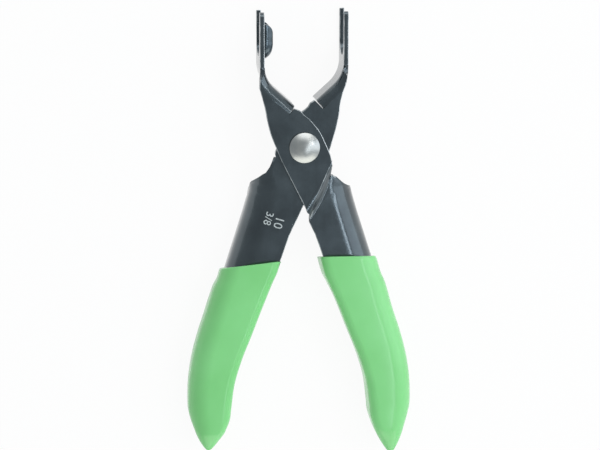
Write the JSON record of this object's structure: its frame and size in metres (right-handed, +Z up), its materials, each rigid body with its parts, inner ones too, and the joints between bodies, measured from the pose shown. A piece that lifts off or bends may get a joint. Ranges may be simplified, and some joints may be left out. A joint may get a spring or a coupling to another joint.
{
  "type": "fuel line pliers",
  "caption": "Crossed sheet-steel pliers with a horseshoe release collar on one jaw and a two-pronged fork on the other, and dipped vinyl grips.",
  "frame": {"origin": "middle of the footprint, on the plane that the tool rests on when it lies flat", "axes": "+Z up along the pivot, +Y from the grips to the jaws, +X from the collar jaw to the fork jaw"},
  "size_m": [0.0968, 0.1932, 0.0213],
  "materials": {
    "blackened_steel": "dark blued sheet steel, semi-gloss",
    "bright_plating": "bright nickel plating",
    "zinc_plating": "satin zinc plating",
    "black_bush": "dark satin coating",
    "green_vinyl": "glossy light green dipped vinyl"
  },
  "bodies": {
    "fork_side": {"rear_lever": "blackened_steel", "pivot_rivet": "bright_plating", "tail_washer": "zinc_plating", "rear_grip": "green_vinyl"},
    "collar_side": {"front_lever": "blackened_steel", "release_collar": "black_bush", "front_grip": "green_vinyl"}
  },
  "joints": [
    {"name": "pivot", "type": "hinge", "parent": "fork_side", "child": "collar_side", "pos_m": [0.00115, 0.03961, 0.0165], "axis": [0, 0, 1], "range_deg": [-5, 42]}
  ]
}
